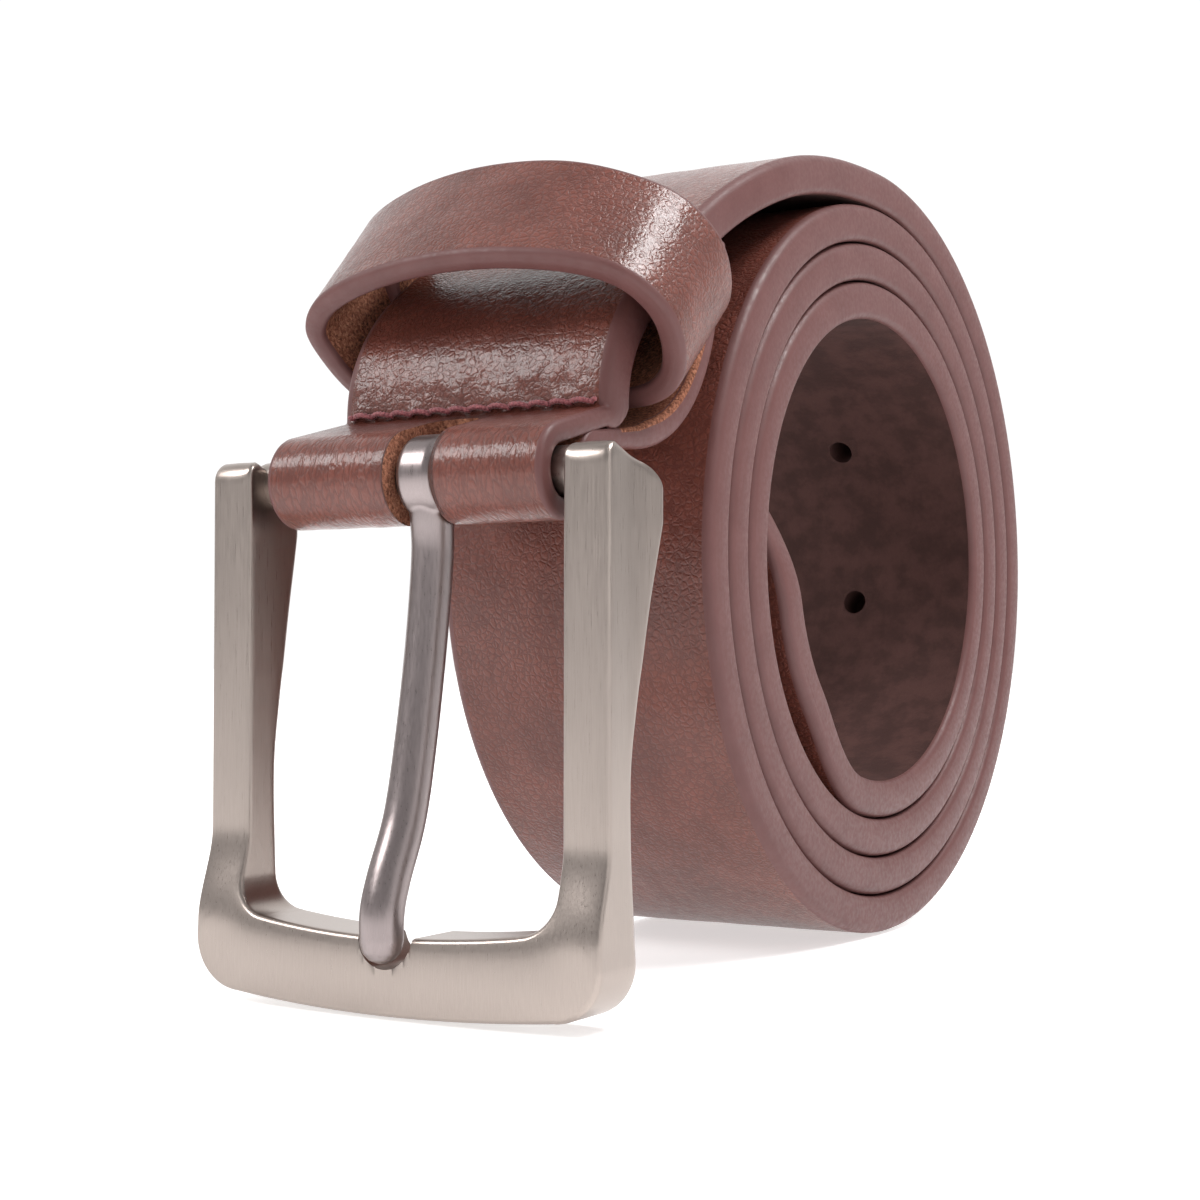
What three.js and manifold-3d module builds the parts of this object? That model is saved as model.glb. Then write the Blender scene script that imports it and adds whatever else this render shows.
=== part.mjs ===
// A gentlemen's leather belt, rolled up and standing on its rim: strap, two keepers, buckle, prong.
// Millimetres, +Z up. X is the axis of the roll, the buckle hangs in front, towards -Y.
// The strap's route is drawn in the Y-Z plane with the roll's axis at y = 0, then the whole belt is
// moved so that the origin lies on the floor under the middle of it.

import * as THREE from 'three';
import { mergeVertices } from 'three/addons/utils/BufferGeometryUtils.js';
import Module from 'manifold-3d';

const wasm = await Module();
wasm.setup();

// ---------------------------------------------------------------- driving dimensions
const BELT_SHIFT_Y = 17.9;        // the roll's axis lies this far behind the origin

const STRAP_WIDTH = 37;           // in the roll
const ROLL_X = 0.5;               // the roll sits this far to the right of the buckle's middle
const BUCKLE_END_WIDTH = 35;      // the strap narrows to this where it takes the buckle
const LEATHER = 4.7;              // full thickness
const FLAP_LEATHER = 3.1;         // skived fold-back behind the buckle
const SLEEVE_LEATHER = 2.2;       // skived where it bends round the bar
const NECK_LEATHER = 1.9;         // at the seam behind the bar
const LAYER_GAP = 0.35;           // air between layers that lie on each other

const ROLL_Z = 49.38;             // height of the roll's axis
const ROLL_RADIUS = 51.95;        // outer radius at the top of the first turn
const ROLL_PITCH = 5.05;          // radius lost in each full turn
const ROLL_WIDENING = 2.4;        // the roll is this much wider than high, each side
const ROLL_DEGREES = 1385;        // from the top of the first turn to the tip
const ROLL_STEP = 7.5;            // degrees between sections

const TIP_LENGTH_DEGREES = 48;    // the tapered point
const TIP_HALF_WIDTH = 2.5;       // of its blunt end
const HOLE_DIAMETER = 3.5;
const HOLE_ANGLES = [1055.8, 1096.5, 1137.25, 1178, 1218.75];   // 25.4 mm apart round the roll

const BAR_Y = -79;                // buckle bar, which the strap is folded round
const BAR_Z = 55.4;
const BAR_RADIUS = 2.5;
const RUNNING_GAP = 0.3;
const SLEEVE_RADIUS = 5;          // outside of the leather round the bar
const SLOT_X = 1;                 // the slot in the sleeve, for the prong
const SLOT_WIDTH = 6;
const SLOT_END_Y = -73.5;

const FRONT_Y = -70.7;            // the upright stretch above the seam
const CREASE_Z = 63.26;
const CREASE_RADIUS = 0.6;

const LEG_INSIDE = 19.85;         // the buckle frame's legs, from its middle
const LEG_OUTSIDE = 25.2;
const LEG_FRONT_Y = -84;
const LEG_TOP = 57.8;
const FRAME_BAR_HEIGHT = 8.1;     // of the lower bar, at its middle
const FRAME_CHAMFER = 0.7;
const NOTCH_X = 0.45;
const NOTCH_RADIUS = 3.35;

const PRONG_X = 1.2;              // of the eye; the rod wanders to the left as it comes down
const PRONG_RADIUS = 2.25;
const PRONG_EYE_RADIUS = 4.4;

const KEEPER_TILT = THREE.MathUtils.degToRad(42);   // slope of the strap inside the keepers
const KEEPER_Y = -62.8;           // the strap's grain side at the middle of the front keeper
const KEEPER_Z = 77.2;
const KEEPER_WIDTH = 15.6;
const KEEPER_LEATHER = 2.7;
const REAR_KEEPER_WIDTH = 7.8;
const REAR_KEEPER_LEATHER = 2;
const REAR_KEEPER_OFFSET = 3.4;   // its near edge, along the strap from the front keeper's middle
const KEEPER_SLIT = 0.35;

const THREAD = 0.7;
const STAPLE_WIRE = 0.6;

// ---------------------------------------------------------------- materials
const leather = (hex, roughness) =>
  new THREE.MeshStandardMaterial({ color: hex, roughness, metalness: 0 });
const metal = (hex, roughness) =>
  new THREE.MeshStandardMaterial({ color: hex, roughness, metalness: 1 });

// ---------------------------------------------------------------- solids, cuts and joins
function toSolid(geometry) {
  const bare = geometry.clone();
  bare.deleteAttribute('normal');
  bare.deleteAttribute('uv');
  const merged = mergeVertices(bare, 1e-4);
  const mesh = new wasm.Mesh({
    numProp: 3,
    vertProperties: new Float32Array(merged.attributes.position.array),
    triVerts: new Uint32Array(merged.index.array),
  });
  mesh.merge();
  return new wasm.Manifold(mesh);
}

function toGeometry(solid) {
  const mesh = solid.getMesh();
  const geometry = new THREE.BufferGeometry();
  const vertices = new Float32Array(mesh.vertProperties);
  geometry.setAttribute('position', new THREE.BufferAttribute(vertices, 3));
  geometry.setIndex(new THREE.BufferAttribute(new Uint32Array(mesh.triVerts), 1));
  geometry.computeVertexNormals();
  return geometry;
}

const subtract = (geometry, ...cutters) =>
  toGeometry(cutters.reduce((solid, cutter) => solid.subtract(toSolid(cutter)), toSolid(geometry)));
const unite = (a, b) => toGeometry(toSolid(a).add(toSolid(b)));
const intersect = (a, b) => toGeometry(toSolid(a).intersect(toSolid(b)));

function piece(name, geometry, material) {
  const mesh = new THREE.Mesh(geometry, material);
  mesh.name = name;
  return mesh;
}

// A shape drawn in (y, z), pushed out along X and centred on x.
function extrudeAlongX(shape, width, x = 0) {
  const geometry = new THREE.ExtrudeGeometry(shape, { depth: width, bevelEnabled: false, curveSegments: 8 });
  const axes = new THREE.Matrix4().set(0, 0, 1, x - width / 2, 1, 0, 0, 0, 0, 1, 0, 0, 0, 0, 0, 1);
  return geometry.applyMatrix4(axes);
}

// A cylinder whose axis runs along the direction (0, y, z) through a point.
function cylinderThrough(point, direction, radius, length, sides) {
  const geometry = new THREE.CylinderGeometry(radius, radius, length, sides);
  const turn = new THREE.Quaternion().setFromUnitVectors(new THREE.Vector3(0, 1, 0), direction);
  return geometry.applyQuaternion(turn).translate(point.x, point.y, point.z);
}

// ---------------------------------------------------------------- the strap's route
const onCircle = (y, z, radius, angle) =>
  new THREE.Vector2(y + radius * Math.cos(angle), z + radius * Math.sin(angle));
const radians = THREE.MathUtils.degToRad;
const { lerp, smoothstep } = THREE.MathUtils;

// The roll: the grain side's radius, and how far the free tip stands off the turn outside it.
function rollRadius(degrees) {
  return ROLL_RADIUS - ROLL_PITCH * degrees / 360 + ROLL_WIDENING * Math.sin(radians(degrees)) ** 2;
}
function tipStandOff(degrees) {
  return 4 * smoothstep(degrees, 1275, 1310) * (1 - smoothstep(degrees, 1335, ROLL_DEGREES));
}
function onRoll(degrees, depth) {
  const r = rollRadius(degrees) - tipStandOff(degrees) - depth;
  return new THREE.Vector2(r * Math.sin(radians(degrees)), ROLL_Z + r * Math.cos(radians(degrees)));
}

// The front run leaves the top of the roll, comes over and turns down to the crease.
const rollTop = onRoll(0, 0);
const bend = new THREE.Vector2(-60.5, 79.5);
const bendSlope = new THREE.Vector2(0.825, 0.565);
const upperRun = new THREE.CubicBezierCurve(
  bend, bend.clone().addScaledVector(bendSlope, 20), rollTop.clone().add({ x: -33.5, y: 0 }), rollTop);
const lowerRun = new THREE.CubicBezierCurve(
  new THREE.Vector2(FRONT_Y, CREASE_Z), new THREE.Vector2(FRONT_Y, CREASE_Z + 7.6),
  bend.clone().addScaledVector(bendSlope, -6), bend);

// The flap behind it hangs in a bow from the second seam to the first one.
const flapTop = new THREE.Vector2(-45.7, 77.4);
const flapFoot = new THREE.Vector2(-66.5, 58.8);
const flapBow = new THREE.CubicBezierCurve(
  flapTop, new THREE.Vector2(-46.2, 68.3), new THREE.Vector2(-53.9, 58.2), flapFoot);

// A station is one section of the strap: a point on its grain side, one on its flesh side, a half width
// and how far its middle lies to the right.
const stations = [];
function station(grain, inward, thickness, halfWidth, middle = 0) {
  stations.push({ grain, flesh: grain.clone().addScaledVector(inward, thickness), halfWidth, middle });
}
function alongCurve(curve, steps, thicknessAt, halfWidthAt, middleAt = () => 0) {
  for (let i = 1; i <= steps; i += 1) {
    const u = i / steps;
    const t = curve.getTangent(u);
    station(curve.getPoint(u), new THREE.Vector2(t.y, -t.x), thicknessAt(u), halfWidthAt(u), middleAt(u));
  }
}
const narrow = () => BUCKLE_END_WIDTH / 2;

function layFlap() {
  for (const u of [0.285, 0.26, 0.235]) {
    const t = upperRun.getTangent(u);
    const inward = new THREE.Vector2(t.y, -t.x);
    const thickness = lerp(1.4, 0.7, (u - 0.235) / 0.05);
    const grain = upperRun.getPoint(u).addScaledVector(inward, LEATHER + LAYER_GAP + thickness);
    station(grain, inward.clone().negate(), thickness, narrow());
  }
  const corner = stations.at(-1).grain;
  const turnDown = new THREE.CubicBezierCurve(
    corner, corner.clone().addScaledVector(bendSlope, -1.6), flapTop.clone().add({ x: 0.1, y: 2 }), flapTop);
  alongCurve(turnDown, 6, (u) => lerp(1.4, 2.3, u), narrow);
  alongCurve(flapBow, 12, (u) => (u < 0.9 ? lerp(2.3, FLAP_LEATHER, smoothstep(u, 0, 0.4)) : 2.5), narrow);
}

function laySleeve() {
  const filletY = -73;
  const filletZ = 56.95;
  station(new THREE.Vector2(-68.2, 58.58), new THREE.Vector2(0.12, 0.99), NECK_LEATHER, narrow());
  for (let i = 0; i <= 4; i += 1) {
    const angle = Math.PI / 2 + i * Math.PI / 8;
    const inward = onCircle(0, 0, 1, angle);
    station(onCircle(filletY, filletZ, 1, angle), inward, NECK_LEATHER, narrow());
  }
  const steps = 17;
  for (let i = 0; i <= steps; i += 1) {
    const angle = -radians(255) * i / steps;
    const inward = onCircle(0, 0, -1, angle);
    station(onCircle(BAR_Y, BAR_Z, SLEEVE_RADIUS, angle), inward, SLEEVE_LEATHER, narrow());
  }
  const creaseY = FRONT_Y - CREASE_RADIUS;
  for (let i = 0; i <= 5; i += 1) {
    const angle = radians(-75) + radians(75) * i / 5;
    const inward = onCircle(0, 0, 1, angle);
    const thickness = lerp(NECK_LEATHER, LEATHER, i / 5);
    station(onCircle(creaseY, CREASE_Z, CREASE_RADIUS, angle), inward, thickness, narrow());
  }
}

function layRoll() {
  const tipStart = ROLL_DEGREES - TIP_LENGTH_DEGREES;
  const angles = [];
  for (let a = ROLL_STEP / 2; a < ROLL_DEGREES - 2; a += ROLL_STEP) {
    angles.push(a);
  }
  angles.push(ROLL_DEGREES - 2, ROLL_DEGREES);
  for (const a of angles) {
    const point = (ROLL_DEGREES - a) / TIP_LENGTH_DEGREES;
    const halfWidth = a <= tipStart ? STRAP_WIDTH / 2
      : lerp(TIP_HALF_WIDTH, STRAP_WIDTH / 2, Math.sin(point * Math.PI / 2) ** 0.8);
    stations.push({ grain: onRoll(a, 0), flesh: onRoll(a, LEATHER), halfWidth, middle: ROLL_X });
  }
}

// Skin over the stations: four faces along the strap and one at each end.
function strapSkin() {
  const corners = [];
  for (const s of stations) {
    const left = s.middle - s.halfWidth;
    const right = s.middle + s.halfWidth;
    corners.push(left, s.grain.x, s.grain.y, right, s.grain.x, s.grain.y);
    corners.push(right, s.flesh.x, s.flesh.y, left, s.flesh.x, s.flesh.y);
  }
  const index = [];
  const quad = (a, b, c, d) => index.push(a, b, c, a, c, d);
  for (let i = 0; i + 1 < stations.length; i += 1) {
    for (let side = 0; side < 4; side += 1) {
      const next = (side + 1) % 4;
      quad(4 * i + side, 4 * i + next, 4 * i + 4 + next, 4 * i + 4 + side);
    }
  }
  const last = 4 * (stations.length - 1);
  quad(3, 2, 1, 0);
  quad(last, last + 1, last + 2, last + 3);
  const geometry = new THREE.BufferGeometry();
  geometry.setAttribute('position', new THREE.Float32BufferAttribute(corners, 3));
  geometry.setIndex(index);
  return geometry;
}

function holeCutter(degrees) {
  const middle = onRoll(degrees, LEATHER / 2);
  const outward = onCircle(0, 0, 1, radians(90 - degrees));
  const centre = new THREE.Vector3(0, middle.x, middle.y);
  const direction = new THREE.Vector3(0, outward.x, outward.y);
  return cylinderThrough(centre, direction, HOLE_DIAMETER / 2, LEATHER + LAYER_GAP, 16);
}

// The slot goes right through the sleeve: a rounded rectangle seen from above.
function slotCutter() {
  const left = SLOT_X - SLOT_WIDTH / 2;
  const right = SLOT_X + SLOT_WIDTH / 2;
  const front = BAR_Y - SLEEVE_RADIUS - 1;
  const round = 1.4;
  const outline = new THREE.Shape();
  outline.moveTo(left, front);
  outline.lineTo(right, front);
  outline.lineTo(right, SLOT_END_Y - round);
  outline.absarc(right - round, SLOT_END_Y - round, round, 0, Math.PI / 2, false);
  outline.absarc(left + round, SLOT_END_Y - round, round, Math.PI / 2, Math.PI, false);
  const bottom = BAR_Z - SLEEVE_RADIUS - 1;
  const geometry = new THREE.ExtrudeGeometry(outline, { depth: 14, bevelEnabled: false, curveSegments: 4 });
  return geometry.translate(0, 0, bottom);
}

function strap() {
  layFlap();
  laySleeve();
  alongCurve(lowerRun, 7, () => LEATHER, narrow);
  const widening = (u) => smoothstep(u, 0.25, 0.65);
  alongCurve(upperRun, 14, () => LEATHER,
    (u) => lerp(BUCKLE_END_WIDTH, STRAP_WIDTH, widening(u)) / 2, (u) => ROLL_X * widening(u));
  layRoll();
  const geometry = subtract(strapSkin(), slotCutter(), ...HOLE_ANGLES.map(holeCutter));
  return piece('strap', geometry, leather(0x7c4c42, 0.42));
}

// ---------------------------------------------------------------- buckle frame
// A U-shaped casting, laid as sections from one leg's top round the lower bar to the other's.
// Its back edge in the side view, as (height, y): the legs grow deeper towards their tops.
const frameBack = [
  [0, -78.2], [16, -78.9], [25, -79], [32, -78.05], [36, -77.3], [42, -76.25],
  [49, -74.85], [54, -74.05], [60, -73.7],
];
function frameBackY(z) {
  const i = Math.max(1, frameBack.findIndex(([height]) => height >= z));
  const [[z0, y0], [z1, y1]] = [frameBack[i - 1], frameBack[i]];
  return lerp(y0, y1, (z - z0) / (z1 - z0));
}
// The lower bar stands proud of the legs and bows a little in its middle.
function frameFrontY(x, z) {
  const swell = 1 - smoothstep(z, 8.5, 21.5);
  const bow = 0.8 * (1 - Math.min(Math.abs(x) / 21, 1) ** 2) * (1 - smoothstep(z, 7, 12));
  return LEG_FRONT_Y - 2.1 * swell - bow;
}
// The legs lean outwards towards their backs, the outer side more than the inner one.
function legFlare(y, z, across) {
  const lean = (Math.max(y + 80, 0) / 5.3) ** 1.5;
  return lean * smoothstep(z, 14, 30) * lerp(0.4, 1.5, across);
}
const roofAt = (y) => LEG_TOP - 0.42 * Math.max(y + 82.2, 0);

// Matching points of the inner and the outer outline (x, z) in the front view, right half.
// The lower bar lies flat in its middle and rises a little towards its corners.
function frameOutlines() {
  const pairs = [];
  const inner = { round: 4, rise: 1 };
  const outer = { round: 5.5, rise: 0.9 };
  const flatShare = 0.4;
  const innerCornerZ = FRAME_BAR_HEIGHT + inner.rise + inner.round;
  const outerCornerZ = outer.rise + outer.round;
  const legEndZ = 50;
  for (let i = 0; i <= 10; i += 1) {
    const t = i / 10;
    const bent = Math.max(t - flatShare, 0) / (1 - flatShare);
    pairs.push([[(LEG_INSIDE - inner.round) * t, FRAME_BAR_HEIGHT + inner.rise * t * t],
      [(LEG_OUTSIDE - outer.round) * t, outer.rise * bent * bent]]);
  }
  for (let degrees = 15; degrees <= 90; degrees += 15) {
    const inwards = 1 - Math.sin(radians(degrees));
    const below = Math.cos(radians(degrees));
    pairs.push([[LEG_INSIDE - inner.round * inwards, innerCornerZ - inner.round * below],
      [LEG_OUTSIDE - outer.round * inwards, outerCornerZ - outer.round * below]]);
  }
  for (let i = 1; i <= 8; i += 1) {
    pairs.push([[LEG_INSIDE, lerp(innerCornerZ, legEndZ, i / 8)],
      [LEG_OUTSIDE, lerp(outerCornerZ, legEndZ, i / 8)]]);
  }
  return pairs;
}

// One section: across the casting in mm, share of the way back, and mm behind that.
function frameSection([innerX, innerZ], [outerX, outerZ]) {
  const w = Math.hypot(outerX - innerX, outerZ - innerZ);
  const c = FRAME_CHAMFER;
  const rule = [
    [w - c, 0, 0], [w, 0, c], [w, 0.5, 0], [w, 1, -c], [w - c, 1, 0],
    [c, 1, 0], [0, 1, -c], [0, 0, c], [c, 0, 0],
  ];
  return rule.map(([across, back, extra]) => {
    const x = lerp(innerX, outerX, across / w);
    const z = lerp(innerZ, outerZ, across / w);
    const y = lerp(frameFrontY(x, z), frameBackY(z), back) + extra;
    return new THREE.Vector3(x + legFlare(y, z, across / w), y, z);
  });
}

// The leg's last section carried up to its chamfered, backward-sloping roof.
function legTop(section) {
  const middle = section.reduce((sum, p) => sum.add(p), new THREE.Vector3()).divideScalar(section.length);
  const drop = 1.5;
  const below = section.map((p) => new THREE.Vector3(p.x, p.y, roofAt(p.y) - drop));
  const roof = section.map((p) => {
    const x = lerp(p.x, middle.x, 0.25);
    const y = lerp(p.y, middle.y, 0.3);
    return new THREE.Vector3(x, y, roofAt(y));
  });
  return [below, roof];
}

// Skin over a row of closed sections, with a point in the middle of each end.
function loft(sections) {
  const n = sections[0].length;
  const points = sections.flat();
  const index = [];
  for (let i = 0; i + 1 < sections.length; i += 1) {
    for (let j = 0; j < n; j += 1) {
      const a = i * n + j;
      const b = i * n + (j + 1) % n;
      index.push(a, b, b + n, a, b + n, a + n);
    }
  }
  for (const [first, turned] of [[0, true], [points.length - n, false]]) {
    const ring = points.slice(first, first + n);
    points.push(ring.reduce((sum, p) => sum.add(p), new THREE.Vector3()).divideScalar(n));
    for (let j = 0; j < n; j += 1) {
      const edge = [first + j, first + (j + 1) % n];
      index.push(...(turned ? edge.reverse() : edge), points.length - 1);
    }
  }
  const geometry = new THREE.BufferGeometry().setFromPoints(points);
  geometry.setIndex(index);
  return geometry;
}

function buckleFrame() {
  const half = frameOutlines().map(([inner, outer]) => frameSection(inner, outer));
  half.push(...legTop(half.at(-1)));
  const mirror = (p) => new THREE.Vector3(-p.x, p.y, p.z);
  const mirrored = half.slice(1).reverse().map((section) => section.map(mirror));
  const casting = loft([...mirrored, ...half]);
  const barEnds = LEG_INSIDE + 1.5;
  const bar = new THREE.CylinderGeometry(BAR_RADIUS, BAR_RADIUS, 2 * barEnds, 20);
  bar.rotateZ(Math.PI / 2).translate(0, BAR_Y, BAR_Z);
  const notch = new THREE.CylinderGeometry(NOTCH_RADIUS, NOTCH_RADIUS, 16, 24);
  notch.translate(NOTCH_X, BAR_Y - 3, FRAME_BAR_HEIGHT);
  return piece('buckle_frame', subtract(unite(casting, bar), notch), metal(0x8f8883, 0.34));
}

// ---------------------------------------------------------------- prong
// Straight down from its eye, then forward in a gentle S so that the end lies in the notch.
function prong() {
  const path = new THREE.CatmullRomCurve3([
    [PRONG_X, BAR_Y - 0.6, BAR_Z - 3.4], [1.1, -79.3, 47], [0.9, -80.1, 38], [0.7, -81.6, 28],
    [0.6, -83.4, 20], [0.5, -86, 14], [0.45, -87, 10.8], [0.45, -87.1, 7.7],
  ].map((p) => new THREE.Vector3(...p)), false, 'catmullrom');
  const section = new THREE.Shape();
  section.absarc(0, 0, PRONG_RADIUS, 0, 2 * Math.PI, false);
  const rod = new THREE.ExtrudeGeometry(section, { steps: 26, extrudePath: path, curveSegments: 7 });
  const end = path.getPoint(1);
  const tip = new THREE.SphereGeometry(PRONG_RADIUS * 1.01, 14, 10).translate(end.x, end.y, end.z);

  const ring = new THREE.Shape();
  ring.absarc(BAR_Y, BAR_Z, PRONG_EYE_RADIUS, 0, 2 * Math.PI, false);
  const bore = new THREE.Path();
  bore.absarc(BAR_Y, BAR_Z, BAR_RADIUS + RUNNING_GAP, 0, 2 * Math.PI, true);
  const bored = new THREE.CylinderGeometry(BAR_RADIUS + RUNNING_GAP, BAR_RADIUS + RUNNING_GAP, 8, 24);
  bored.rotateZ(Math.PI / 2).translate(PRONG_X, BAR_Y, BAR_Z);
  ring.holes.push(bore);
  const eye = extrudeAlongX(ring, 2 * PRONG_RADIUS, PRONG_X);
  const geometry = subtract(unite(unite(rod, tip), eye), bored);
  return piece('prong', geometry, metal(0x857f7c, 0.28));
}

// ---------------------------------------------------------------- keepers and their staples
// Drawn across the strap: x to the side, y square to the strap's grain side, then turned into place.
// A keeper's outline runs from the butt joint under the strap round to the right and back.
function keeperShape(outline, thickness) {
  const points = outline.map(([x, y]) => new THREE.Vector3(x, y, 0));
  const curve = new THREE.CatmullRomCurve3(points, true, 'catmullrom');
  const steps = 5 * outline.length;
  const outside = [];
  const inside = [];
  for (let i = 0; i < steps; i += 1) {
    const p = curve.getPoint(i / steps);
    const t = curve.getTangent(i / steps);
    outside.push(new THREE.Vector2(p.x, p.y));
    inside.push(new THREE.Vector2(p.x - t.y * thickness, p.y + t.x * thickness));
  }
  const shape = new THREE.Shape(outside);
  shape.holes.push(new THREE.Path(inside));
  return shape;
}

// One wire staple across the slit in the lower side: its crown at y = crownY, its legs towards +-y.
function stapleShape(crownY, towards, legLength) {
  const halfSpan = 3.2;
  const wire = STAPLE_WIRE;
  const legEnd = crownY + towards * (wire + legLength);
  const inside = crownY + towards * wire;
  const outline = [
    [-halfSpan, crownY], [halfSpan, crownY], [halfSpan, legEnd],
    [halfSpan - wire, legEnd], [halfSpan - wire, inside], [wire - halfSpan, inside],
    [wire - halfSpan, legEnd], [-halfSpan, legEnd],
  ];
  return new THREE.Shape(outline.map(([x, y]) => new THREE.Vector2(x, y)));
}

function keeperPair(name, spec) {
  const { outline, thickness, width, near, flare, staple } = spec;
  const bottom = outline[0][1];
  const top = Math.max(...outline.map(([, y]) => y));
  const far = near + width;
  // in this drawing the depth runs from the far edge, up the strap, towards the buckle
  const shape = keeperShape(outline, thickness);
  const band = new THREE.ExtrudeGeometry(shape, { depth: width, bevelEnabled: false });
  const place = band.attributes.position;
  for (let i = 0; i < place.count; i += 1) {
    const share = Math.max(place.getY(i), 0) / top;
    place.setY(i, place.getY(i) + flare * share * (1 - place.getZ(i) / width));
  }
  const slit = new THREE.BoxGeometry(KEEPER_SLIT, thickness + 2, width + 2);
  slit.translate(0, bottom + thickness / 2, width / 2);
  const cutters = [slit];
  const stapleMiddle = far - staple.along;
  for (const side of [-1, 1]) {
    const hole = new THREE.BoxGeometry(STAPLE_WIRE + 0.6, thickness + 2, STAPLE_WIRE + 0.6);
    hole.translate(side * (3.2 - STAPLE_WIRE / 2), bottom + thickness / 2, stapleMiddle);
    cutters.push(hole);
  }
  const wire = new THREE.ExtrudeGeometry(stapleShape(staple.crown, staple.towards, staple.leg),
    { depth: STAPLE_WIRE, bevelEnabled: false });
  wire.translate(0, 0, stapleMiddle - STAPLE_WIRE / 2);

  const group = new THREE.Group();
  group.rotation.x = Math.PI / 2 + KEEPER_TILT;
  group.position.set(0, KEEPER_Y + far * Math.cos(KEEPER_TILT), KEEPER_Z + far * Math.sin(KEEPER_TILT));
  group.add(piece(name, subtract(band, ...cutters), leather(0x83503f, 0.45)));
  group.add(piece(`${name}_staple`, wire, metal(0x9a9a98, 0.35)));
  return group;
}

const frontKeeper = {
  outline: [
    [0, -11.5], [10, -11.6], [17.2, -11.3], [21.5, -8.8], [23.6, -4.4], [23.6, 0.8], [20.6, 5.8], [14.6, 9.1],
    [6.5, 11], [-3, 11.3], [-12, 10], [-19.6, 7.2], [-23.5, 3], [-23.5, -2.2], [-22.4, -7.5], [-18.9, -10.9],
    [-10, -11.6],
  ],
  thickness: KEEPER_LEATHER, width: KEEPER_WIDTH, near: -KEEPER_WIDTH / 2, flare: 2.4,
  staple: { along: -2, crown: -12.3, towards: 1, leg: 2.9 },
};
const rearKeeper = {
  outline: [
    [0, -8.2], [10, -8.2], [16.8, -8], [19.5, -6], [20.4, -1.8], [19.9, 1.6], [17, 4.3], [11, 5.8], [0, 6.3],
    [-11, 5.7], [-16.6, 4.2], [-19.6, 1.6], [-20.1, -1.8], [-19.5, -6], [-16.8, -8], [-10, -8.2],
  ],
  thickness: REAR_KEEPER_LEATHER, width: REAR_KEEPER_WIDTH, near: REAR_KEEPER_OFFSET, flare: 0.6,
  staple: { along: REAR_KEEPER_OFFSET + 3.6, crown: -5.1, towards: -1, leg: 2 },
};

// ---------------------------------------------------------------- sewing thread
// Each seam is one lockstitch: a needle thread on the grain side, a bobbin thread under it.
function thread(name, y, z, length) {
  const rod = new THREE.CylinderGeometry(THREAD / 2, THREAD / 2, length, 8);
  rod.rotateZ(Math.PI / 2).translate(0, y, z);
  return piece(name, rod, leather(0x6d2f33, 0.7));
}

function threads() {
  const group = new THREE.Group();
  const clear = THREAD / 2 + RUNNING_GAP;
  const rearSeam = 0.262;
  const grain = upperRun.getPoint(rearSeam);
  const t = upperRun.getTangent(rearSeam);
  const outward = new THREE.Vector2(-t.y, t.x);
  const above = grain.clone().addScaledVector(outward, clear);
  const below = grain.clone().addScaledVector(outward, -(LEATHER + LAYER_GAP + 1.2 + clear));
  group.add(thread('front_seam_needle_thread', FRONT_Y - clear - 0.1, CREASE_Z + 0.35, 32));
  group.add(thread('front_seam_bobbin_thread', -71.2, 57.5, 32));
  group.add(thread('rear_seam_needle_thread', above.x, above.y, 31));
  group.add(thread('rear_seam_bobbin_thread', below.x, below.y, 31));
  return group;
}

// ---------------------------------------------------------------- the belt
const group = new THREE.Group();
group.position.y = BELT_SHIFT_Y;
group.add(strap());
group.add(buckleFrame());
group.add(prong());
group.add(keeperPair('keeper_front', frontKeeper));
group.add(keeperPair('keeper_rear', rearKeeper));
group.add(threads());

export default group;
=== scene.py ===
"""A leather belt rolled up on its rim, in a white studio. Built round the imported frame, in metres."""
import math

import bpy
import numpy as np
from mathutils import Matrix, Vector


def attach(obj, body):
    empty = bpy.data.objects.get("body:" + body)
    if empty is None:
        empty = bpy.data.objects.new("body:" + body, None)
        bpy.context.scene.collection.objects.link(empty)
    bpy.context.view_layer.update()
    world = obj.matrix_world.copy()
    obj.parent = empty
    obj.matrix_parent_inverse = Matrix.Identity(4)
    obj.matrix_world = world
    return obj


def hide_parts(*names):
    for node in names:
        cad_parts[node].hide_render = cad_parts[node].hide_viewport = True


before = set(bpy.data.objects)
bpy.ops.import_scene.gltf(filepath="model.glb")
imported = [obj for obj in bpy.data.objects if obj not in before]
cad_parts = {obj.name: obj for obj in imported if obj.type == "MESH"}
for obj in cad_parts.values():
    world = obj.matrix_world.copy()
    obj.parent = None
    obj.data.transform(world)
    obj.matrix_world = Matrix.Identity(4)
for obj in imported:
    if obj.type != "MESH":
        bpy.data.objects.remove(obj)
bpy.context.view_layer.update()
MM = 0.001

# ------------------------------------------------------------------ driving dimensions, in mm
# The belt's route is worked out with the roll's axis at y = 0, as in the CAD, then moved by SHIFT_Y.
STRAP_WIDTH = 37.0
BUCKLE_END_WIDTH = 35.0
ROLL_X = 0.5                       # the roll sits this far to the right of the buckle's middle
LEATHER = 4.85                     # thickness in the roll and the runs
FLAP_LEATHER = 3.1
SLEEVE_LEATHER = 2.3
NECK_LEATHER = 2.15                # the two layers that meet behind the bar
ROLL_Z = 49.38
ROLL_RADIUS = 51.95
ROLL_PITCH = 5.05                  # how much smaller the radius gets with each turn
ROLL_WIDENING = 2.4                # the roll is this much wider than high, on each side
END_SAG = 4                        # the loose inner end hangs this far off the turn outside it
ROLL_DEGREES = 1385.0
TIP_DEGREES = 48.0
TIP_HALF_WIDTH = 2.5
HOLE_DIAMETER = 3.5
HOLE_ANGLES = (1055.8, 1096.5, 1137.25, 1178.0, 1218.75)   # 25.4 mm apart round the roll
BAR_Y = -79.0
BAR_Z = 55.4
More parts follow.
